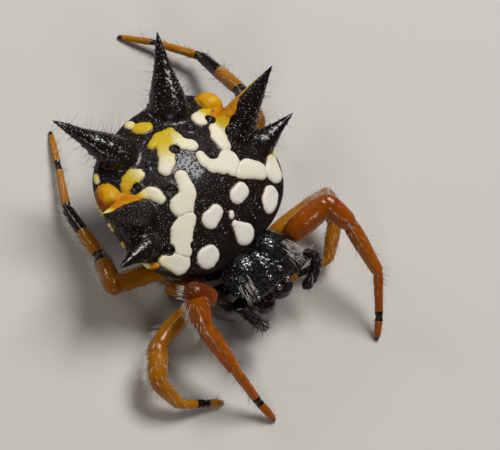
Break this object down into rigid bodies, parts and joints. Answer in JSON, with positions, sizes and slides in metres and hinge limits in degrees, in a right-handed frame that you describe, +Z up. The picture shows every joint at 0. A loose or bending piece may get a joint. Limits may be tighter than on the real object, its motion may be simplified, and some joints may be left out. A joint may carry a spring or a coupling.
{
  "type": "christmas jewel spider",
  "caption": "christmas jewel spider, a still life-size model on its feet: a black spiny shield of an abdomen over a small glossy head and slender bent legs",
  "frame": {"origin": "on the floor, at the middle of the model's bounding box seen from above", "axes": "+X is the spider's left, +Y its rear, +Z up"},
  "size_m": [0.0168, 0.0216, 0.0076],
  "materials": {
    "shell_black": "glossy black shell with white and yellow marks",
    "head_black": "glossy black, finely pitted",
    "hip_brown": "dark brown, satin",
    "leg_orange": "orange, satin",
    "leg_ochre": "ochre yellow, satin",
    "eye_black": "polished black"
  },
  "bodies": {
    "root": {"abdomen": "shell_black", "spinnerets": "hip_brown", "carapace": "head_black", "sternum": "hip_brown", "chelicera_left": "head_black", "palp_left_base": "head_black", "palp_left_tip": "head_black", "eye_anterior_median_left": "eye_black", "eye_posterior_median_left": "eye_black", "eye_anterior_lateral_left": "eye_black", "eye_posterior_lateral_left": "eye_black", "leg_1_left_coxa": "hip_brown", "leg_1_left_femur": "leg_orange", "leg_1_left_tibia": "leg_orange", "leg_1_left_tarsus": "leg_orange", "leg_2_left_coxa": "hip_brown", "leg_2_left_femur": "leg_ochre", "leg_2_left_tibia": "leg_ochre", "leg_2_left_tarsus": "leg_ochre", "leg_3_left_coxa": "hip_brown", "leg_3_left_femur": "leg_ochre", "leg_3_left_tibia": "leg_ochre", "leg_3_left_tarsus": "leg_ochre", "leg_4_left_coxa": "hip_brown", "leg_4_left_femur": "leg_ochre", "leg_4_left_tibia": "leg_ochre", "leg_4_left_tarsus": "leg_ochre", "chelicera_right": "head_black", "palp_right_base": "head_black", "palp_right_tip": "head_black", "eye_anterior_median_right": "eye_black", "eye_posterior_median_right": "eye_black", "eye_anterior_lateral_right": "eye_black", "eye_posterior_lateral_right": "eye_black", "leg_1_right_coxa": "hip_brown", "leg_1_right_femur": "leg_orange", "leg_1_right_tibia": "leg_orange", "leg_1_right_tarsus": "leg_orange", "leg_2_right_coxa": "hip_brown", "leg_2_right_femur": "leg_ochre", "leg_2_right_tibia": "leg_ochre", "leg_2_right_tarsus": "leg_ochre", "leg_3_right_coxa": "hip_brown", "leg_3_right_femur": "leg_ochre", "leg_3_right_tibia": "leg_ochre", "leg_3_right_tarsus": "leg_ochre", "leg_4_right_coxa": "hip_brown", "leg_4_right_femur": "leg_ochre", "leg_4_right_tibia": "leg_ochre", "leg_4_right_tarsus": "leg_ochre"}
  },
  "joints": []
}
